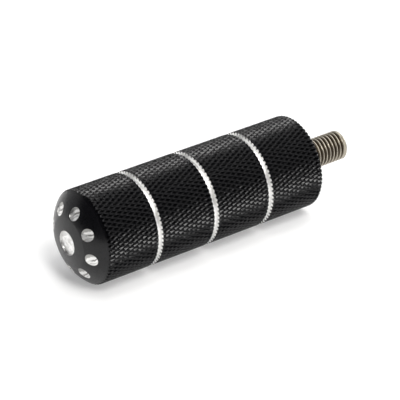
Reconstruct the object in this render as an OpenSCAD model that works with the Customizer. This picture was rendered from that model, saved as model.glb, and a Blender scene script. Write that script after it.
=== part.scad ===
// Screw-in foot peg: a turned and knurled aluminium body on a threaded steel stud.
// Millimetres. The peg's axis is X. The stud points to +X and the body lies on the
// -X side, so the origin is the centre of the body's mounting face.

/* [Body] */
// Outside diameter over the tops of the knurl
body_d = 38; // [36:0.5:40]
// Length from the mounting face to the rim of the recess in the outer end
body_l = 108.4; // [100:0.2:126]
// Chamfer around the edge of the mounting face
face_chamfer = 0.3; // [0.2:0.1:1.5]

/* [Bright rings] */
// Number of ring grooves turned around the body
ring_n = 3; // [1:1:3]
// Distance from the mounting face to the middle of the nearest ring
ring_first = 25.7; // [18:0.1:32]
// Distance from one ring to the next
ring_pitch = 26.35; // [20:0.05:28]
// Width of a ring groove at the outside of the body
ring_w = 2.2; // [1.8:0.05:3]
// Depth of a ring groove
ring_depth = 1.55; // [0.8:0.05:2]
// Width of the flat at the bottom of a ring groove
ring_floor = 1.35; // [0.3:0.05:1.7]

/* [Outer end] */
// Length of the whole nose, from the knurled side to the rim of the recess
nose_l = 7.5; // [6.5:0.1:9]
// Diameter of the edge between the sloping shoulder and the dome
dome_d = 20.14; // [19:0.02:22]
// Height of the dome from that edge up to the rim of the recess
dome_h = 0.88; // [0.7:0.02:1.2]
// How far the shoulder bulges beyond a straight cone, at its middle
shoulder_crown = 0.75; // [0.2:0.01:0.9]
// Radius that rounds the edge between the knurled side and the shoulder
shoulder_r = 1.3; // [0.3:0.1:2]
// Radius that rounds the edge between the shoulder and the dome
dome_edge_r = 1; // [0.5:0.1:3]
// Diameter of the recess in the middle of the dome
recess_d = 9.64; // [7:0.02:12]
// Depth of that recess
recess_depth = 0.8; // [0.3:0.05:1.5]

/* [Dimples] */
// Number of dimples around the shoulder
dimple_n = 8; // [4:1:10]
// Width of one dimple, across the slope of the shoulder
dimple_d = 4.96; // [3:0.02:5.2]
// Length of a dimple along the slope, as a multiple of its width
dimple_stretch = 1.1; // [1:0.01:1.15]
// Distance from the peg's axis to the centre of a dimple
dimple_at = 13; // [12.8:0.1:15]
// Depth of a dimple at its centre
dimple_depth = 0.5; // [0.4:0.05:0.9]
// Angle of the first dimple around the axis, from +Y towards +Z
dimple_phase = 9.6; // [0:0.1:45]

/* [Stud] */
// Outside diameter of the stud's thread
stud_d = 12; // [11:0.5:13]
// Pitch of the thread: the tapping hole is the thread's diameter less this
thread_pitch = 1.75; // [1.25:0.05:2]
// Length of stud that stands out of the mounting face
stud_out = 23.9; // [16:0.1:40]
// Length of stud held inside the body
stud_in = 26.8; // [18:0.1:32]
// Chamfer on both ends of the stud
stud_chamfer = 0.8; // [0.4:0.1:1.5]

/* [Tapped hole] */
// How much wider than the stud the countersink's mouth is, on each side
sink_gap = 1; // [0.8:0.1:2]
// How far the hole is drilled past the end of the stud
drill_past = 4.2; // [1:0.1:8]
// Radial gap between the stud and the wall of the tapped hole
thread_gap = 0.02; // [0.01:0.01:0.1]

/* [Hidden] */
$fn = 96;
body_r = body_d / 2;
dome_r = dome_d / 2;
recess_r = recess_d / 2;

// Stud and tapped hole
stud_r = stud_d / 2;
sink_r = stud_r + sink_gap;
hole_r = (stud_d - thread_pitch) / 2;   // tapping-drill radius
core_r = hole_r - thread_gap;           // stud inside the body
hole_l = stud_in + drill_past;
drill_half_angle = 59;                  // cone at the bottom of the hole, from the axis
stud_step = 0.1;                        // full-diameter stud starts this far inside the sink

// Straight line that the shoulder bulges from
side_x = -body_l + nose_l;              // where the knurled side would meet the shoulder
edge_x = -body_l + dome_h;              // where the shoulder would meet the dome
cone_slope = atan2(body_r - dome_r, side_x - edge_x);
half_chord = norm([body_r - dome_r, side_x - edge_x]) / 2;

// Shoulder: an arc over that line. Slopes are angles from the X axis.
crown_r = (half_chord * half_chord + shoulder_crown * shoulder_crown) / (2 * shoulder_crown);
crown_turn = asin(half_chord / crown_r);
dome_side_slope = cone_slope + crown_turn;
knurl_side_slope = cone_slope - crown_turn;
crown_x = edge_x + crown_r * sin(dome_side_slope);
crown_y = dome_r - crown_r * cos(dome_side_slope);

// Dome: part of a ball through the recess rim and the dome's edge
ball_offset = (dome_r * dome_r - recess_r * recess_r - dome_h * dome_h) / (2 * dome_h);
ball_r = sqrt(ball_offset * ball_offset + dome_r * dome_r);
ball_x = edge_x + ball_offset;
dome_edge_slope = 90 - asin(dome_r / ball_r);

// Steps along the curves of the body's outline
dome_steps = 8;
dome_edge_steps = 4;
crown_steps = 10;
shoulder_steps = 6;
dome_margin = 0.6;                      // dome points stop this far short of its rounded edge
min_turn = 1;                           // a corner that turns less than this stays sharp
cutter_rise = 3;                        // dimple cutter above the shoulder

// Points that round a corner of an outline drawn towards +X. It arrives at slope
// slope_in and leaves at the flatter slope_out.
function round_pts(corner, slope_in, slope_out, radius, steps) =
    slope_in - slope_out < min_turn ? [corner] :
    let (setback = radius * tan((slope_in - slope_out) / 2),
         start = corner - setback * [cos(slope_in), sin(slope_in)],
         centre = start + radius * [sin(slope_in), -cos(slope_in)])
    [for (i = [0 : steps])
        let (slope = slope_in + (slope_out - slope_in) * i / steps)
        centre + radius * [-sin(slope), cos(slope)]];

// Point on the dome at distance y from the axis
function dome_pt(y) = [ball_x - sqrt(ball_r * ball_r - y * y), y];

// Point of the shoulder's arc where it has the given slope
function crown_pt(slope) = [crown_x - crown_r * sin(slope), crown_y + crown_r * cos(slope)];

// One ring groove around the side, with its middle at x
function ring_pts(x) = [
    [x - ring_w / 2, body_r],
    [x - ring_floor / 2, body_r - ring_depth],
    [x + ring_floor / 2, body_r - ring_depth],
    [x + ring_w / 2, body_r]];

// Half section of the body as [x, radius], from the recess to the bottom of the hole
body_outline = [
    [-body_l + recess_depth, 0],
    [-body_l + recess_depth, recess_r],
    for (i = [0 : dome_steps])
        dome_pt(recess_r + (dome_r - dome_margin - recess_r) * i / dome_steps),
    each round_pts([edge_x, dome_r], dome_edge_slope, dome_side_slope,
        dome_edge_r, dome_edge_steps),
    for (i = [1 : crown_steps - 1])
        crown_pt(dome_side_slope + (knurl_side_slope - dome_side_slope) * i / crown_steps),
    each round_pts([side_x, body_r], knurl_side_slope, 0, shoulder_r, shoulder_steps),
    for (i = [ring_n - 1 : -1 : 0]) each ring_pts(-ring_first - i * ring_pitch),
    [-face_chamfer, body_r],
    [0, body_r - face_chamfer],
    [0, sink_r],
    [-(sink_r - hole_r), hole_r],
    [-hole_l, hole_r],
    [-hole_l - hole_r / tan(drill_half_angle), 0]];

// Half section of the stud as [x, radius]
stud_outline = [
    [-stud_in, 0],
    [-stud_in, core_r - stud_chamfer],
    [-stud_in + stud_chamfer, core_r],
    [-stud_step, core_r],
    [-stud_step, stud_r],
    [stud_out - stud_chamfer, stud_r],
    [stud_out, stud_r - stud_chamfer],
    [stud_out, 0]];

// Revolves a half section of [x, radius] points around the peg's axis
module turned(outline) {
    rotate([0, 90, 0])
        rotate_extrude()
            polygon([for (point = outline) [point[1], point[0]]]);
}

// Cutter for one shallow flat-bottomed dimple, square to the shoulder, on the +Y side
module dimple_cutter() {
    slope = acos((dimple_at - crown_y) / crown_r);
    translate(concat(crown_pt(slope), [0]))
        rotate([0, 0, 90 + slope])
            rotate([0, 90, 0])
                translate([0, 0, -dimple_depth])
                    scale([1, dimple_stretch, 1])
                        cylinder(d = dimple_d, h = dimple_depth + cutter_rise);
}

// Peg body: knurled side with bright ring grooves, dimpled domed end, blind tapped hole
module peg_body() {
    color([0.13, 0.13, 0.14])
        difference() {
            turned(body_outline);
            for (i = [0 : dimple_n - 1])
                rotate([dimple_phase + 360 * i / dimple_n, 0, 0])
                    dimple_cutter();
        }
}

// Mounting stud: threaded steel rod, drawn at the outside of its thread where it stands
// out and just under the tapping diameter where it is screwed into the body
module mounting_stud() {
    color([0.66, 0.64, 0.60])
        turned(stud_outline);
}

peg_body();
mounting_stud();
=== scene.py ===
# A knurled, black anodised aluminium peg with a threaded steel mounting stud.
# It lies along X: the mounting face is at x = 0, the stud points to +X, and the domed outer
# end with its recess and ring of dimples is at -X. Z is up; the camera is on the -X, -Y side.
import math
import bpy
import bmesh
import numpy as np
from mathutils import Matrix, Vector


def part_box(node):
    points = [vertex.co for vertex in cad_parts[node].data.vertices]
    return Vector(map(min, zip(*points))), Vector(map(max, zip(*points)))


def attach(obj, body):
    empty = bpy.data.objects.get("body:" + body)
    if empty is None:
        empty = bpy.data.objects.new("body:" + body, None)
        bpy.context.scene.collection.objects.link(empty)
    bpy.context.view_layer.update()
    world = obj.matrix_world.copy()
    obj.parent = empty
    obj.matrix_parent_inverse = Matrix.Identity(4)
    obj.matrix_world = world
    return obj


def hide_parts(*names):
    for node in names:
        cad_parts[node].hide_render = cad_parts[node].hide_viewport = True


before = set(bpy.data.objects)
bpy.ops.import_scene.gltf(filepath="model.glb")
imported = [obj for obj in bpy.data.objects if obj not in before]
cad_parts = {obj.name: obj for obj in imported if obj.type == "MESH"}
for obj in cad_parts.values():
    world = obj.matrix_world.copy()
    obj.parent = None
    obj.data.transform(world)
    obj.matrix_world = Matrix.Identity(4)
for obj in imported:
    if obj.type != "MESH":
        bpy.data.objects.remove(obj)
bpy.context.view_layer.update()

# ---------------------------------------------------------------- sizes
# Shapes are worked out in millimetres and written out in metres. The overall sizes come
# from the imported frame; the rest are the shapes cut into them.
MM = 0.001
body_lo, body_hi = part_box("peg_body")
stud_lo, stud_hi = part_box("mounting_stud")
BODY_R = (body_hi.z - body_lo.z) / 2 / MM   # over the tops of the knurl
BODY_L = -body_lo.x / MM                    # mounting face to the rim of the end recess
STUD_R = (stud_hi.z - stud_lo.z) / 2 / MM
STUD_OUT = stud_hi.x / MM                   # length outside the body
STUD_IN = -stud_lo.x / MM                   # length inside the body

# ring grooves, counted from the mounting face
RING_FIRST_X, RING_PITCH, RING_N = -25.7, 26.35, 3
RING_W, RING_FLOOR_W, RING_D = 2.2, 1.35, 1.55

# outer end: recess, dome around it, arched shoulder, then the knurled side
NOSE_L = 7.5                                # recess rim to the knurled side
DOME_H, DOME_R, DOME_EDGE_R = 0.88, 10.07, 0.6
CROWN = 0.75                                # rise of the shoulder's arc over its chord
SHOULDER_R = 1.3                            # rounding where the shoulder meets the side
RECESS_R, RECESS_D = 4.82, 0.80

DIMPLE_N = 8
DIMPLE_PHASE = 9.6                          # degrees from +Y to the first dimple
DIMPLE_AT = 13.0                            # distance of a dimple's centre from the axis
DIMPLE_R, DIMPLE_D = 2.48, 0.50
DIMPLE_RISE = 0.26                          # the dish is this much shallower at its rim
DIMPLE_STRETCH = 1.1                        # a dimple is this much longer along the slope

FACE_CHAMFER = 0.3                          # around the mounting face
THREAD_PITCH = 1.75
THREAD_D = 1.07
HOLE_R = STUD_R - THREAD_PITCH / 2
HOLE_L = STUD_IN + 4.2
SINK_R = STUD_R + 1.0                       # countersink of the hole
DRILL_TIP = 59                              # half angle of the hole's end, in degrees
CORE_R = HOLE_R - 0.02                      # the plain part of the stud, inside the hole
CORE_STEP = 0.1                             # the plain part ends this far inside the body
STUD_CHAMFER = 0.8

KNURL_N = 64                                # ridges of each hand around the body
KNURL_PER_MM = 4.5 / 19.0                   # ridges of each hand per mm of length
KNURL_D = 1.06                              # depth of the pits between them
KNURL_X = 0.19                              # where along the body two ridges cross
KNURL_OVERRUN = 3.0                         # extra length past each end of the body
RIDGE_HALF = 0.022                          # half width of a ridge's flat top, in phase
PIT_WALL_END = 0.445                        # phase where the wall of a pit ends
PIT_ROUND = 0.035                           # rounding at the bottom of a pit, in phase

# material slots of the body
SKIN, BARE, BORE, DIMPLE = range(4)


def fillet(corner, slope_in, slope_out, radius, steps):
    """Rounds an outline's corner between a slope and a flatter one, in degrees."""
    a, b = math.radians(slope_in), math.radians(slope_out)
    reach = radius * math.tan((a - b) / 2)
    start_x, start_y = corner[0] - reach * math.cos(a), corner[1] - reach * math.sin(a)
    mid_x, mid_y = start_x + radius * math.sin(a), start_y - radius * math.cos(a)
    turns = [a + (b - a) * i / steps for i in range(steps + 1)]
    return [(mid_x - radius * math.sin(t), mid_y + radius * math.cos(t)) for t in turns]


# the dome is part of a ball that passes through the recess rim and the dome's edge
edge_x, side_x = -BODY_L + DOME_H, -BODY_L + NOSE_L
ball_offset = (DOME_R ** 2 - RECESS_R ** 2 - DOME_H ** 2) / (2 * DOME_H)
ball_r = math.hypot(ball_offset, DOME_R)
ball_x = edge_x + ball_offset
dome_slope = 90 - math.degrees(math.asin(DOME_R / ball_r))

# the shoulder is a shallow arc between the dome's edge and the knurled side
chord_slope = math.degrees(math.atan2(BODY_R - DOME_R, side_x - edge_x))
half_chord = math.hypot(BODY_R - DOME_R, side_x - edge_x) / 2
crown_r = (half_chord ** 2 + CROWN ** 2) / (2 * CROWN)
crown_half = math.degrees(math.asin(half_chord / crown_r))
crown_in, crown_out = chord_slope + crown_half, chord_slope - crown_half
crown_x = edge_x + crown_r * math.sin(math.radians(crown_in))
crown_y = DOME_R - crown_r * math.cos(math.radians(crown_in))


def crown_point(slope):
    """Point of the shoulder's arc that has this slope in degrees."""
    a = math.radians(slope)
    return crown_x - crown_r * math.sin(a), crown_y + crown_r * math.cos(a)


# centre of a dimple on the shoulder, in the +Y half plane, and its outward axis
dimple_slope = math.acos((DIMPLE_AT - crown_y) / crown_r)
DIMPLE_CENTRE = (*crown_point(math.degrees(dimple_slope)), 0.0)
DIMPLE_AXIS = (-math.sin(dimple_slope), math.cos(dimple_slope), 0.0)


# ---------------------------------------------------------------- mesh helpers
def mesh_object(name, verts, faces, mats, slots=None):
    mesh = bpy.data.meshes.new(name)
    mesh.from_pydata([tuple(v) for v in verts], [], faces)
    for mat in mats:
        mesh.materials.append(mat)
    if slots is not None:
        mesh.polygons.foreach_set("material_index", np.asarray(slots, np.int32))
    mesh.validate(verbose=False)
    mesh.update()
    ob = bpy.data.objects.new(name, mesh)
    bpy.context.scene.collection.objects.link(ob)
    return ob


def solid_object(name, verts, faces, mats, slots=None):
    """A closed mesh with all its faces turned outward."""
    ob = mesh_object(name, verts, faces, mats, slots)
    bm = bmesh.new()
    bm.from_mesh(ob.data)
    bmesh.ops.recalc_face_normals(bm, faces=bm.faces)
    bm.to_mesh(ob.data)
    bm.free()
    return ob


def revolve(outline, segments, slots):
    """A closed solid turned about X from (x, r) points. A point with r = 0 is one vertex.
    Each point's slot is the material of the faces that start at it."""
    verts, rows = [], []
    angles = np.arange(segments) * 2 * math.pi / segments
    for x, r in outline:
        if r <= 1e-9:
            rows.append([len(verts)])
            verts.append((x, 0.0, 0.0))
        else:
            rows.append(list(range(len(verts), len(verts) + segments)))
            verts += [(x, r * math.cos(t), r * math.sin(t)) for t in angles]
    faces, face_slots = [], []
    for a, b, slot in zip(rows, rows[1:], slots):
        for i in range(segments):
            j = (i + 1) % segments
            if len(a) == 1:
                faces.append((a[0], b[j], b[i]))
            elif len(b) == 1:
                faces.append((a[i], a[j], b[0]))
            else:
                faces.append((a[i], a[j], b[j], b[i]))
            face_slots.append(slot)
    return verts, faces, face_slots


def close_ends(verts, faces, low_x, high_x):
    """Closes both ends of an open bar with cones of triangles to two points on the axis."""
    count, direct = {}, {}
    for face in faces:
        for p, q in zip(face, face[1:] + face[:1]):
            key = (min(p, q), max(p, q))
            count[key] = count.get(key, 0) + 1
            direct[key] = (p, q)
    low_tip, high_tip = len(verts), len(verts) + 1
    verts = list(verts) + [(low_x, 0, 0), (high_x, 0, 0)]
    middle = (low_x + high_x) / 2
    caps = []
    for key, uses in count.items():
        if uses == 1:
            p, q = direct[key]
            caps.append((q, p, low_tip if verts[p][0] < middle else high_tip))
    return verts, faces + caps


def boolean(ob, cutter, operation):
    """Applies a boolean to the object and removes the cutter."""
    cut = ob.modifiers.new("cut", "BOOLEAN")
    cut.operation = operation
    cut.object = cutter
    cut.solver = "MANIFOLD"
    bpy.context.view_layer.update()
    depsgraph = bpy.context.evaluated_depsgraph_get()
    mesh = bpy.data.meshes.new_from_object(ob.evaluated_get(depsgraph))
    ob.modifiers.clear()
    old = ob.data
    ob.data = mesh
    bpy.data.meshes.remove(old)
    bpy.data.objects.remove(cutter)


# ---------------------------------------------------------------- body
def knurl_solid(name, mats):
    """A closed bar with two crossed families of helical ridges. Each diamond between
    them is a pit shaped like an upside-down pyramid."""
    per_mm = 2 * KNURL_PER_MM                          # rows of diamonds per mm
    first = int(math.floor(per_mm * (-BODY_L - KNURL_OVERRUN)))
    last = int(math.ceil(per_mm * KNURL_OVERRUN))
    # rings of a pit, from its rim down: (inset from the ridge's middle in phase, depth)
    levels = [(RIDGE_HALF, 0.0), (RIDGE_HALF + 0.030, 0.018), (RIDGE_HALF + 0.070, 0.070),
              (PIT_WALL_END, KNURL_D - 0.05), (PIT_WALL_END + PIT_ROUND, KNURL_D)]
    rings, rows = len(levels), last - first
    row = np.arange(first, last)[:, None]
    around = np.arange(KNURL_N)[None, :]
    points = np.zeros((rows, KNURL_N, rings, 4, 3))
    for q, (inset, depth) in enumerate(levels):
        far = 1 - inset
        for c, (du, dv) in enumerate(((inset, inset), (far, inset), (far, far), (inset, far))):
            # u and v are the phases of the two families
            u, v = around + row + du, around + dv
            angle = math.pi * (u + v) / KNURL_N
            r = BODY_R - depth
            points[:, :, q, c, 0] = KNURL_X + (u - v) / per_mm
            points[:, :, q, c, 1] = r * np.cos(angle)
            points[:, :, q, c, 2] = r * np.sin(angle)
    # vertex numbers as [row][place around][ring][corner]
    grid = np.arange(rows * KNURL_N * rings * 4).reshape(rows, KNURL_N, rings, 4).tolist()
    faces = []
    for a in range(rows):
        for k in range(KNURL_N):
            pit = grid[a][k]
            faces.append(tuple(pit[-1]))
            for upper, lower in zip(pit, pit[1:]):
                for c in range(4):
                    d = (c + 1) % 4
                    faces.append((upper[c], upper[d], lower[d], lower[c]))
            # ridge tops shared with the next diamonds in u and v, then their crossing
            rim = pit[0]
            if a > 0:
                before = grid[a - 1][k][0]
                faces.append((before[1], rim[0], rim[3], before[2]))
            if a < rows - 1:
                after = grid[a + 1][k - 1][0]
                faces.append((after[3], after[2], rim[1], rim[0]))
            if 0 < a < rows - 1:
                beside = grid[a][k - 1][0]
                faces.append((beside[2], after[3], rim[0], before[1]))
    verts, faces = close_ends(points.reshape(-1, 3), faces,
                              (first - 4) / per_mm, (last + 4) / per_mm)
    return solid_object(name, verts, faces, mats)


def body_cutter(name, mats):
    """The turned envelope of the body: everything outside it is cut away."""
    over = BODY_R + 0.4                                # clear of the ridges
    floor_x = -BODY_L + RECESS_D
    outline, slots = [], []

    def add(points, slot):
        outline.extend(points)
        slots.extend([slot] * len(points))

    # recess floor, its rounded corner and its wall
    add([(floor_x, RECESS_R * f) for f in (0.0, 0.25, 0.5, 0.75)], BARE)
    add([(floor_x, RECESS_R - 0.12), (floor_x - 0.035, RECESS_R - 0.035),
         (floor_x - 0.12, RECESS_R), (-BODY_L + 0.10, RECESS_R)], BARE)
    # dome: it starts a hair outside the recess, so the rim shows a bright line
    dome_steps, rim_r = 14, RECESS_R + 0.08
    for i in range(dome_steps + 1):
        r = rim_r + (DOME_R - 0.6 - RECESS_R - 0.08) * i / dome_steps
        add([(ball_x - math.sqrt(ball_r ** 2 - r * r), r)], SKIN)
    # shoulder, with both its ends rounded
    add(fillet((edge_x, DOME_R), dome_slope, crown_in, DOME_EDGE_R, 4), SKIN)
    add([crown_point(crown_in + (crown_out - crown_in) * i / 16) for i in range(1, 16)], SKIN)
    shoulder = fillet((side_x, BODY_R), crown_out, 0, SHOULDER_R, 10)
    add(shoulder[:-1], SKIN)
    # from here on the outline stays clear of the knurl, but for the ring grooves
    end_x = shoulder[-1][0]
    add([(end_x - 0.02, BODY_R - 0.004), (end_x, over)], SKIN)
    lean = (RING_W - RING_FLOOR_W) / 2 / RING_D        # of a groove's walls
    half_w = RING_W / 2 + (over - BODY_R) * lean       # of a groove out at the outline
    for k in reversed(range(RING_N)):
        x = RING_FIRST_X - k * RING_PITCH
        add([(x - half_w, over), (x - RING_FLOOR_W / 2, BODY_R - RING_D),
             (x + RING_FLOOR_W / 2, BODY_R - RING_D)], BARE)
        add([(x + half_w, over)], SKIN)
    # chamfer and mounting face
    add([(-FACE_CHAMFER - (over - BODY_R), over), (0.0, BODY_R - FACE_CHAMFER),
         (0.0, BODY_R - 3.5), (0.0, SINK_R + 3.0)], SKIN)
    # countersink, hole and its pointed end
    add([(0.0, SINK_R), (-(SINK_R - HOLE_R), HOLE_R), (-HOLE_L, HOLE_R),
         (-HOLE_L - HOLE_R / math.tan(math.radians(DRILL_TIP)), 0.0)], BORE)
    verts, faces, face_slots = revolve(outline, 288, slots)
    return solid_object(name, verts, faces, mats, face_slots)


def dimple_cutters(name, mats):
    """Shallow dishes, square to the shoulder."""
    centre, normal = np.array(DIMPLE_CENTRE), np.array(DIMPLE_AXIS)
    slope = np.array([math.cos(dimple_slope), math.sin(dimple_slope), 0.0])
    side = np.array([0.0, 0.0, 1.0])
    # (height over the shoulder, radius): the dish, its rim and a plug that clears the body
    shares = (0.0, 0.12, 0.24, 0.36, 0.48, 0.60, 0.72, 0.84, 0.94, 0.985)
    outline = [(-DIMPLE_D + DIMPLE_RISE * f * f, DIMPLE_R * f) for f in shares]
    outline += [(-DIMPLE_D + DIMPLE_RISE + 0.03, DIMPLE_R), (2.0, DIMPLE_R), (2.0, 0.0)]
    dish, dish_faces, dish_slots = revolve(outline, 72, [DIMPLE] * len(outline))
    verts, faces = [], []
    for k in range(DIMPLE_N):
        a = math.radians(DIMPLE_PHASE + 360.0 * k / DIMPLE_N)
        turn = np.array([[1, 0, 0],
                         [0, math.cos(a), -math.sin(a)],
                         [0, math.sin(a), math.cos(a)]])
        base = len(verts)
        for height, y, z in dish:
            point = centre + height * normal + y * DIMPLE_STRETCH * slope + z * side
            verts.append(tuple(turn @ point))
        faces += [tuple(i + base for i in face) for face in dish_faces]
    return solid_object(name, verts, faces, mats, dish_slots * DIMPLE_N)


# ---------------------------------------------------------------- stud
# one pitch of the thread: (share of the pitch, depth below the crest)
THREAD = [
    (0.000, 0.0), (0.090, 0.0), (0.130, 0.04), (0.170, 0.14),
    (0.260, 0.42), (0.350, 0.72), (0.400, 0.90), (0.450, 1.03),
    (0.500, THREAD_D), (0.550, 1.03), (0.600, 0.90), (0.650, 0.72),
    (0.740, 0.42), (0.830, 0.14), (0.870, 0.04), (0.910, 0.0),
]


def stud_solid(name, mats):
    """A closed threaded bar, longer than the stud at both ends."""
    segments, pitch, turn = 96, THREAD_PITCH, len(THREAD)
    first = int(math.floor(-STUD_IN / pitch)) - 2
    last = int(math.ceil(STUD_OUT / pitch)) + 2
    rows = [(t * pitch + share * pitch, depth)
            for t in range(first, last) for share, depth in THREAD]
    rows.append((last * pitch, 0.0))
    verts = []
    for start_x, depth in rows:
        for i in range(segments):
            angle = -2 * math.pi * i / segments
            x = start_x + pitch * i / segments
            # the thread runs out over 1 mm just before the tip
            r = STUD_R - depth * min(1.0, max(0.15, STUD_OUT - 1.2 - x))
            verts.append((x, r * math.cos(angle), r * math.sin(angle)))
    faces = []
    for k in range(len(rows) - 1):
        low, high = k * segments, (k + 1) * segments
        for i in range(segments - 1):
            faces.append((low + i, low + i + 1, high + i + 1, high + i))
        # the last strip joins the start of the next turn
        if k + turn + 1 < len(rows):
            step = turn * segments
            faces.append((high - 1, low + step, high + step, high + segments - 1))
    verts, faces = close_ends(verts, faces, (first - 0.5) * pitch, (last + 1.5) * pitch)
    return solid_object(name, verts, faces, mats)


def stud_cutter(name, mats):
    """Envelope of the stud: plain inside the body, threaded outside, chamfered at both ends."""
    over = STUD_R + 0.3
    outline = [
        (-STUD_IN, 0.0), (-STUD_IN, CORE_R - STUD_CHAMFER),
        (-STUD_IN + STUD_CHAMFER, CORE_R), (-CORE_STEP - 0.3, CORE_R),
        (-CORE_STEP, STUD_R - 0.02), (-CORE_STEP, over),
        (STUD_OUT - STUD_CHAMFER - 0.3, over),
        (STUD_OUT - 0.08, STUD_R - STUD_CHAMFER + 0.08),
        (STUD_OUT, STUD_R - STUD_CHAMFER - 0.10), (STUD_OUT, 2.0), (STUD_OUT, 0.0),
    ]
    verts, faces, slots = revolve(outline, 128, [0] * len(outline))
    return solid_object(name, verts, faces, mats, slots)


# ---------------------------------------------------------------- shader helpers
class Nodes:
    """Small helper that writes shader node trees."""

    def __init__(self, tree):
        self.tree = tree
        tree.nodes.clear()

    def node(self, kind, **props):
        node = self.tree.nodes.new(kind)
        for key, value in props.items():
            setattr(node, key, value)
        return node

    def put(self, socket, value):
        """Links a socket or sets a value; a colour of three gets an alpha of 1."""
        if isinstance(value, bpy.types.NodeSocket):
            self.tree.links.new(value, socket)
        elif isinstance(value, tuple) and len(socket.default_value) == 4:
            socket.default_value = (*value, 1.0)
        else:
            socket.default_value = value

    def fill(self, node, *values):
        """Sets a node's first inputs in order and returns its first output."""
        for socket, value in zip(node.inputs, values):
            self.put(socket, value)
        return node.outputs[0]

    def math(self, op, a, b=0.0):
        return self.fill(self.node("ShaderNodeMath", operation=op), a, b, 0.0)

    def add(self, a, b):
        return self.math("ADD", a, b)

    def sub(self, a, b):
        return self.math("SUBTRACT", a, b)

    def mul(self, a, b):
        return self.math("MULTIPLY", a, b)

    def vmath(self, op, *vectors):
        node = self.node("ShaderNodeVectorMath", operation=op)
        self.fill(node, *vectors)
        return node.outputs["Value" if op in ("DOT_PRODUCT", "LENGTH") else "Vector"]

    def scale(self, vector, factor):
        node = self.node("ShaderNodeVectorMath", operation="SCALE")
        self.put(node.inputs["Scale"], factor)
        return self.fill(node, vector)

    def join(self, x, y, z):
        return self.fill(self.node("ShaderNodeCombineXYZ"), x, y, z)

    def turn(self, vector, angle):
        """Turns a vector about X."""
        node = self.node("ShaderNodeVectorRotate", rotation_type="X_AXIS")
        self.put(node.inputs["Angle"], angle)
        return self.fill(node, vector)

    def noise(self, vector, scale, detail=3.0, rough=0.55, distortion=0.0):
        node = self.node("ShaderNodeTexNoise")
        for key, value in (("Vector", vector), ("Scale", scale), ("Detail", detail),
                           ("Roughness", rough), ("Distortion", distortion)):
            self.put(node.inputs[key], value)
        return node.outputs[0]

    def span(self, value, source, to=(0.0, 1.0), smooth=False):
        """Maps the source range onto another, held at both ends."""
        kind = "SMOOTHSTEP" if smooth else "LINEAR"
        node = self.node("ShaderNodeMapRange", interpolation_type=kind)
        return self.fill(node, value, *source, *to)

    def mix(self, factor, a, b):
        node = self.node("ShaderNodeMix", data_type="RGBA")
        for i, value in ((0, factor), (6, a), (7, b)):     # 6 and 7 are the colours
            self.put(node.inputs[i], value)
        return node.outputs[2]

    def bump(self, height, dist, strength=1.0, normal=None):
        node = self.node("ShaderNodeBump")
        self.put(node.inputs["Strength"], strength)
        self.put(node.inputs["Distance"], dist)
        self.put(node.inputs["Height"], height)
        if normal is not None:
            self.put(node.inputs["Normal"], normal)
        return node.outputs[0]

    def shade(self, **values):
        shader = self.node("ShaderNodeBsdfPrincipled")
        for key, value in values.items():
            self.put(shader.inputs[key.replace("_", " ")], value)
        out = self.node("ShaderNodeOutputMaterial")
        self.put(out.inputs["Surface"], shader.outputs[0])


def material(name):
    mat = bpy.data.materials.new(name)
    mat.use_nodes = True
    return mat, Nodes(mat.node_tree)


def place(net):
    """Position in mm, its parts, and the angle about the peg's axis."""
    pos = net.scale(net.node("ShaderNodeTexCoord").outputs["Object"], 1000.0)
    parts = net.node("ShaderNodeSeparateXYZ")
    net.put(parts.inputs[0], pos)
    x, y, z = parts.outputs
    return pos, x, y, z, net.math("ARCTAN2", z, y)


def axis_distance(net, y, z):
    return net.math("SQRT", net.add(net.mul(y, y), net.mul(z, z)))


def turning(net, x, r, angle, per_mm):
    """Height of lathe marks: rings about X that vary a little around the part."""
    rings = net.join(net.mul(x, per_mm), net.mul(r, per_mm), net.mul(angle, 0.35))
    return net.noise(rings, scale=1.0, detail=2.0, rough=0.6)


def across_marks(net, y, z):
    """Surface direction square to marks that run around X."""
    around = net.join(0.0, net.mul(z, -1.0), y)
    normal = net.node("ShaderNodeNewGeometry").outputs["Normal"]
    return net.vmath("NORMALIZE", net.vmath("CROSS_PRODUCT", normal, around))


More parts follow.
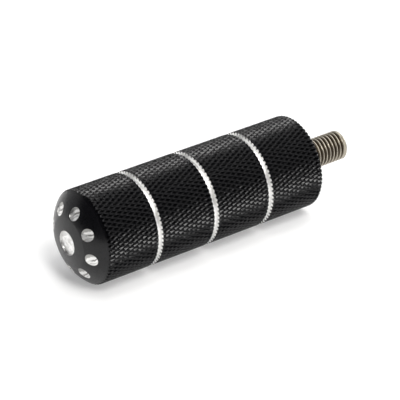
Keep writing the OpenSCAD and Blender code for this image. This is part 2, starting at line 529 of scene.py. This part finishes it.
# ---------------------------------------------------------------- materials
def make_black():
    """Black anodised skin: satin on the nose, glossier on the knurl."""
    deep, light = (0.0012, 0.0012, 0.0018), (0.0026, 0.0026, 0.0034)
    pit_painted_shade, worn_grey = (0.0008, 0.0008, 0.0010), (0.010, 0.010, 0.011)
    mat, net = material("black_anodised")
    pos, x, y, z, angle = place(net)
    r = axis_distance(net, y, z)
    grain = net.noise(pos, scale=9.0, detail=4.0, rough=0.65)
    cloud = net.noise(pos, scale=0.35, rough=0.5)
    marks = turning(net, x, r, angle, per_mm=7.0)
    top = net.span(r, (BODY_R - 0.22, BODY_R - 0.04))      # 1 on the tops of the ridges
    low = net.span(r, (BODY_R - 1.1, BODY_R - 0.35))       # 0 at the bottom of the pits
    side_from = -BODY_L + NOSE_L
    side = net.span(x, (side_from - 1.2, side_from - 0.2))  # 1 on the side, 0 on the nose
    patches = net.span(net.noise(pos, scale=2.2, detail=5.0, rough=0.7), (0.42, 0.72))
    worn = net.mul(net.mul(top, side), patches)
    colour = net.mix(cloud, deep, light)
    # painted shade: the bottoms of the pits on the knurled side are darker
    colour = net.mix(net.mul(net.sub(1.0, low), side), colour, pit_painted_shade)
    colour = net.mix(net.mul(worn, 0.35), colour, worn_grey)
    rough = net.add(net.span(grain, (0.3, 0.7), to=(-0.02, 0.02)),
                    net.span(side, (0.0, 1.0), to=(0.26, 0.11)))
    rough = net.add(rough, net.mul(cloud, 0.04))
    height = net.add(net.mul(marks, net.span(side, (0.0, 1.0), to=(1.0, 0.25))),
                     net.mul(grain, 0.35))
    normal = net.bump(height, dist=0.000004)
    # no two walls of the knurl lie quite alike, so their glints vary
    sway = net.mul(net.sub(net.noise(pos, scale=0.75, detail=2.0, rough=0.6), 0.5), side)
    # the mounting face is turned flat
    sway = net.mul(sway, net.span(x, (-0.3, -0.05), to=(1.0, 0.0)))
    normal = net.bump(sway, dist=0.00016, normal=normal)
    # tops of the ridges are smoother but reflect less than the walls beside them
    shine = net.mul(net.span(r, (BODY_R - 0.10, BODY_R - 0.03)), side)
    rough = net.sub(rough, net.mul(shine, 0.05))
    level = net.sub(net.span(side, (0.0, 1.0), to=(0.41, 0.24)), net.mul(shine, 0.11))
    ior = net.span(shine, (0.0, 1.0), to=(1.47, 1.45))
    net.shade(Base_Color=colour, Metallic=0.0, Roughness=rough, IOR=ior, Normal=normal,
              Specular_IOR_Level=level)
    return mat


def make_bare():
    """Bright aluminium cut on the lathe after anodising."""
    bright, soft = (0.96, 0.955, 0.945), (0.91, 0.905, 0.895)
    mark_grey, recess_painted_shade = (0.84, 0.835, 0.82), (0.52, 0.515, 0.50)
    mat, net = material("bare_aluminium")
    pos, x, y, z, angle = place(net)
    r = axis_distance(net, y, z)
    marks = turning(net, x, r, angle, per_mm=16.0)
    wide = turning(net, x, r, angle, per_mm=3.0)
    colour = net.mix(net.noise(pos, scale=0.5), bright, soft)
    colour = net.mix(net.span(marks, (0.35, 0.75), to=(0.0, 0.35)), colour, mark_grey)
    # painted shade: the recess in the end is darker, in soft patches
    recess = net.span(x, (-BODY_L + 1.0, -BODY_L + 1.4), to=(1.0, 0.0))
    patch = net.noise(pos, scale=0.42, detail=2.0, rough=0.5, distortion=0.8)
    patch = net.span(patch, (0.40, 0.62), to=(0.15, 0.75), smooth=True)
    colour = net.mix(net.mul(recess, patch), colour, recess_painted_shade)
    rough = net.add(0.33, net.span(wide, (0.3, 0.7), to=(-0.05, 0.07)))
    normal = net.bump(net.add(marks, net.mul(wide, 2.0)), dist=0.000006)
    net.shade(Base_Color=colour, Metallic=1.0, Roughness=rough, Anisotropic=0.7,
              Tangent=across_marks(net, y, z), Normal=normal)
    return mat


def make_dimple():
    """Bright aluminium of the dimples, with tool marks in rings around each one and painted
    reflection streaks.
    """
    bright, soft = (0.94, 0.935, 0.92), (0.84, 0.835, 0.82)
    ring_grey, painted_reflection_grey = (0.74, 0.735, 0.72), (0.20, 0.198, 0.185)
    # the camera's up and right directions; the painted reflection streaks follow them
    view_up, view_right = (0.293, 0.397, 0.869), (0.804, -0.594, 0.0)
    mat, net = material("dimple_aluminium")
    pos, _, _, _, angle = place(net)
    # number and angle of the nearest dimple, and the position from its centre
    step, phase = 2 * math.pi / DIMPLE_N, math.radians(DIMPLE_PHASE)
    number = net.math("ROUND", net.math("DIVIDE", net.sub(angle, phase), step))
    at_angle = net.add(net.mul(number, step), phase)
    local = net.turn(pos, net.mul(at_angle, -1.0))
    local = net.vmath("SUBTRACT", local, DIMPLE_CENTRE)
    around = net.vmath("CROSS_PRODUCT", DIMPLE_AXIS, local)
    radius = net.vmath("LENGTH", around)
    radial = net.turn(net.vmath("CROSS_PRODUCT", around, DIMPLE_AXIS), at_angle)
    tangent = net.vmath("NORMALIZE", radial)
    # ring marks, broken up by a slow wave so that they wander like chatter from the cutter
    wobble = net.noise(pos, scale=0.55, detail=2.0, rough=0.5)
    ring = net.join(net.add(net.mul(radius, 9.0), net.mul(wobble, 3.0)), number, 0.0)
    ring = net.noise(ring, scale=1.0, detail=2.0, rough=0.6)
    chatter = net.noise(pos, scale=0.55, detail=2.0, rough=0.5, distortion=0.6)
    fine = net.noise(pos, scale=7.0, rough=0.6)
    colour = net.mix(chatter, bright, soft)
    colour = net.mix(net.span(ring, (0.4, 0.75), to=(0.0, 0.4)), colour, ring_grey)
    # painted reflection: wavy grey streaks that lie the same way across the camera's view on
    # every dimple
    offset = net.turn(local, at_angle)
    up = net.vmath("DOT_PRODUCT", offset, view_up)
    along = net.vmath("DOT_PRODUCT", offset, view_right)
    bend = net.math("SINE", net.add(net.mul(along, 1.25), net.mul(number, 1.7)))
    wave = net.add(up, net.mul(bend, 0.28))
    wave = net.add(wave, net.mul(net.sub(chatter, 0.5), 1.1))
    wave = net.sub(wave, net.mul(along, 0.35))
    # a middle streak that fades to one side, a broad upper one and a thin lower one
    middle = net.span(net.math("ABSOLUTE", net.add(wave, 0.30)), (0.10, 0.42),
                      to=(1.0, 0.0), smooth=True)
    middle = net.mul(middle, net.span(along, (-1.2, 0.9), to=(0.15, 1.0), smooth=True))
    upper = net.span(wave, (0.75, 1.35), to=(0.0, 0.75), smooth=True)
    lower = net.span(net.math("ABSOLUTE", net.add(wave, 1.45)), (0.06, 0.26),
                     to=(0.45, 0.0), smooth=True)
    painted_reflection_streaks = net.math("MAXIMUM", net.math("MAXIMUM", middle, upper), lower)
    colour = net.mix(painted_reflection_streaks, colour, painted_reflection_grey)
    rough = net.add(0.36, net.span(fine, (0.3, 0.7), to=(-0.04, 0.06)))
    normal = net.bump(ring, dist=0.000008)
    normal = net.bump(chatter, dist=0.00010, normal=normal)
    net.shade(Base_Color=colour, Metallic=1.0, Roughness=rough, Anisotropic=0.85,
              Tangent=tangent, Normal=normal)
    return mat


def make_bore():
    """Drilled hole and its countersink: duller aluminium with drill marks."""
    light, dark = (0.62, 0.615, 0.60), (0.42, 0.415, 0.40)
    mat, net = material("drilled_aluminium")
    pos, x, y, z, angle = place(net)
    marks = turning(net, x, axis_distance(net, y, z), angle, per_mm=8.0)
    rough = net.span(net.noise(pos, scale=3.0), (0.3, 0.7), to=(0.30, 0.45))
    net.shade(Base_Color=net.mix(marks, light, dark), Metallic=1.0, Roughness=rough,
              Anisotropic=0.4, Tangent=across_marks(net, y, z),
              Normal=net.bump(marks, dist=0.00002))
    return mat


def make_stud():
    """Plain steel with a rolled thread: smooth crests, grooves darkened by oil and by painted
    shade.
    """
    light, dark = (0.43, 0.395, 0.325), (0.33, 0.295, 0.24)
    groove_oil_and_painted_shade, spot_brown = (0.085, 0.062, 0.045), (0.22, 0.17, 0.12)
    mat, net = material("stud_steel")
    pos, x, y, z, angle = place(net)
    r = axis_distance(net, y, z)
    root = net.span(r, (STUD_R - 0.60, STUD_R - 0.12), to=(1.0, 0.0), smooth=True)
    cloud = net.noise(pos, scale=0.9, detail=4.0, rough=0.6)
    fine = net.join(net.mul(x, 6.0), net.mul(r, 6.0), net.mul(angle, 2.0))
    fine = net.noise(fine, scale=1.0, rough=0.6)
    spots = net.span(net.noise(pos, scale=5.5, rough=0.7), (0.60, 0.74))
    colour = net.mix(cloud, light, dark)
    # oil and painted shade: the thread's grooves are darker towards their roots
    colour = net.mix(net.mul(root, 0.88), colour, groove_oil_and_painted_shade)
    colour = net.mix(net.mul(spots, 0.35), colour, spot_brown)
    rough = net.add(net.span(cloud, (0.3, 0.7), to=(0.27, 0.38)), net.mul(root, 0.12))
    tooth = net.mul(net.noise(pos, scale=12.0, detail=2.0), 0.5)
    net.shade(Base_Color=colour, Metallic=1.0, Roughness=rough, Anisotropic=0.1,
              Tangent=across_marks(net, y, z),
              Normal=net.bump(net.add(fine, tooth), dist=0.000006))
    return mat


def make_floor():
    """White paper with a faint tooth; a little glow keeps it bright."""
    white, shade = (0.72, 0.72, 0.72), (0.71, 0.71, 0.712)
    mat, net = material("white_sweep")
    pos = net.node("ShaderNodeTexCoord").outputs["Object"]
    soft = net.noise(pos, scale=2.5, rough=0.5)
    tooth = net.noise(pos, scale=1800.0, rough=0.6)
    net.shade(Base_Color=net.mix(soft, white, shade), Metallic=0.0,
              Roughness=net.span(tooth, (0.3, 0.7), to=(0.55, 0.7)),
              Normal=net.bump(tooth, dist=0.00002, strength=0.4), Specular_IOR_Level=0.1,
              Emission_Color=(1.0, 1.0, 1.0), Emission_Strength=0.33)
    return mat


mat_black, mat_bare, mat_dimple = make_black(), make_bare(), make_dimple()
mat_bore, mat_stud, mat_floor = make_bore(), make_stud(), make_floor()


# ---------------------------------------------------------------- build
def finish_piece(ob, sharp_angle, node):
    """Scales a piece to metres, smooths it and hands it to the frame."""
    for v in ob.data.vertices:
        v.co *= MM
    ob.data.polygons.foreach_set("use_smooth", [True] * len(ob.data.polygons))
    ob.data.set_sharp_from_angle(angle=math.radians(sharp_angle))
    ob.data.update()
    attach(ob, "root")
    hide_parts(node)


body_mats = [mat_black, mat_bare, mat_bore, mat_dimple]    # in the order of the slots
body = knurl_solid("knurled_body", body_mats)
boolean(body, body_cutter("body_cutter", body_mats), "INTERSECT")
boolean(body, dimple_cutters("dimple_cutters", body_mats), "DIFFERENCE")
finish_piece(body, sharp_angle=24, node="peg_body")

stud = stud_solid("threaded_stud", [mat_stud])
boolean(stud, stud_cutter("stud_cutter", [mat_stud]), "INTERSECT")
finish_piece(stud, sharp_angle=30, node="mounting_stud")

# ---------------------------------------------------------------- floor
# in metres, a hair below the body
FLOOR_HALF, FLOOR_GAP = 3.0, 0.00002
floor_z = body_lo.z - FLOOR_GAP
corners = [(sx * FLOOR_HALF, sy * FLOOR_HALF, floor_z)
           for sx, sy in ((-1, -1), (1, -1), (1, 1), (-1, 1))]
mesh_object("floor", corners, [(0, 1, 2, 3)], [mat_floor])

# ---------------------------------------------------------------- light
# a dim room with soft-edged boxes of light:
# direction, half widths in degrees (full, edge), brightness, colour
WARM, WARMER, WHITE = (1.0, 0.99, 0.975), (1.0, 0.99, 0.97), (1.0, 1.0, 1.0)
LIGHTS = [
    ((0.04, -0.12, 0.98), 5, 12, 9.5, WARM),        # main box, from overhead
    ((-0.03, -0.53, 0.85), 7, 14, 15.0, WARM),      # down towards the front
    ((-0.05, -0.76, 0.65), 6, 12, 4.5, WARM),       # lower at the front
    ((0.54, 0.45, 0.71), 14, 30, 2.5, WHITE),       # small box, above and behind
    ((0.60, -0.75, 0.25), 14, 32, 1.3, WARMER),     # front card, for the rings
    ((-0.35, 1.00, -0.12), 34, 50, 0.55, WHITE),    # white background
    ((0.52, -0.25, 0.82), 10, 26, 1.2, WARMER),     # small card overhead, for the rings
    ((0.97, -0.20, 0.00), 20, 40, 0.6, WARMER),     # low white card at the stud's end
    ((0.00, 0.00, -1.00), 80, 92, 1.1, WHITE),      # the sweep beyond the floor
]
ROOM = (0.05, 0.05, 0.055)

world = bpy.data.worlds.new("studio")
bpy.context.scene.world = world
world.use_nodes = True
net = Nodes(world.node_tree)
ray = net.vmath("NORMALIZE", net.node("ShaderNodeTexCoord").outputs["Generated"])
light = None
for (dx, dy, dz), full, edge, brightness, colour in LIGHTS:
    unit = 1.0 / math.sqrt(dx * dx + dy * dy + dz * dz)
    facing = net.vmath("DOT_PRODUCT", ray, (dx * unit, dy * unit, dz * unit))
    cosines = math.cos(math.radians(edge)), math.cos(math.radians(full))
    box = net.scale(colour, net.span(facing, cosines, to=(0.0, brightness), smooth=True))
    light = box if light is None else net.vmath("ADD", light, box)
light = net.vmath("ADD", light, ROOM)
# past the floor's edge the camera sees a plain white backdrop, not the lit room
seen = net.node("ShaderNodeLightPath").outputs["Is Camera Ray"]
background = net.node("ShaderNodeBackground")
net.put(background.inputs["Color"], net.mix(seen, light, WHITE))
background.inputs["Strength"].default_value = 1.0
world_out = net.node("ShaderNodeOutputWorld")
net.put(world_out.inputs["Surface"], background.outputs[0])

# ---------------------------------------------------------------- camera
# a long lens; angles in radians, places in mm
AZIMUTH, ELEVATION = math.radians(-36.47), math.radians(29.6)
AIM = Vector((-52.15, 0, 0))                           # on the peg's axis
SHIFT_RIGHT, SHIFT_DOWN, DISTANCE = 4.77812, 0.30951, 884.7882     # camera from AIM
right = Vector((math.cos(AZIMUTH), math.sin(AZIMUTH), 0))
forward = Vector((-math.sin(AZIMUTH) * math.cos(ELEVATION),
                  math.cos(AZIMUTH) * math.cos(ELEVATION), -math.sin(ELEVATION)))
up = right.cross(forward)
cam_data = bpy.data.cameras.new("camera")
cam_data.sensor_width = 36.0
cam_data.lens = 204.804
cam_data.clip_start, cam_data.clip_end = 0.05, 20
cam = bpy.data.objects.new("camera", cam_data)
bpy.context.scene.collection.objects.link(cam)
eye = AIM + SHIFT_RIGHT * right - SHIFT_DOWN * up - DISTANCE * forward
facing = Matrix((right, up, -forward)).transposed().to_4x4()
cam.matrix_world = Matrix.Translation(eye * MM) @ facing
bpy.context.scene.camera = cam
bpy.context.scene.view_settings.view_transform = "Standard"
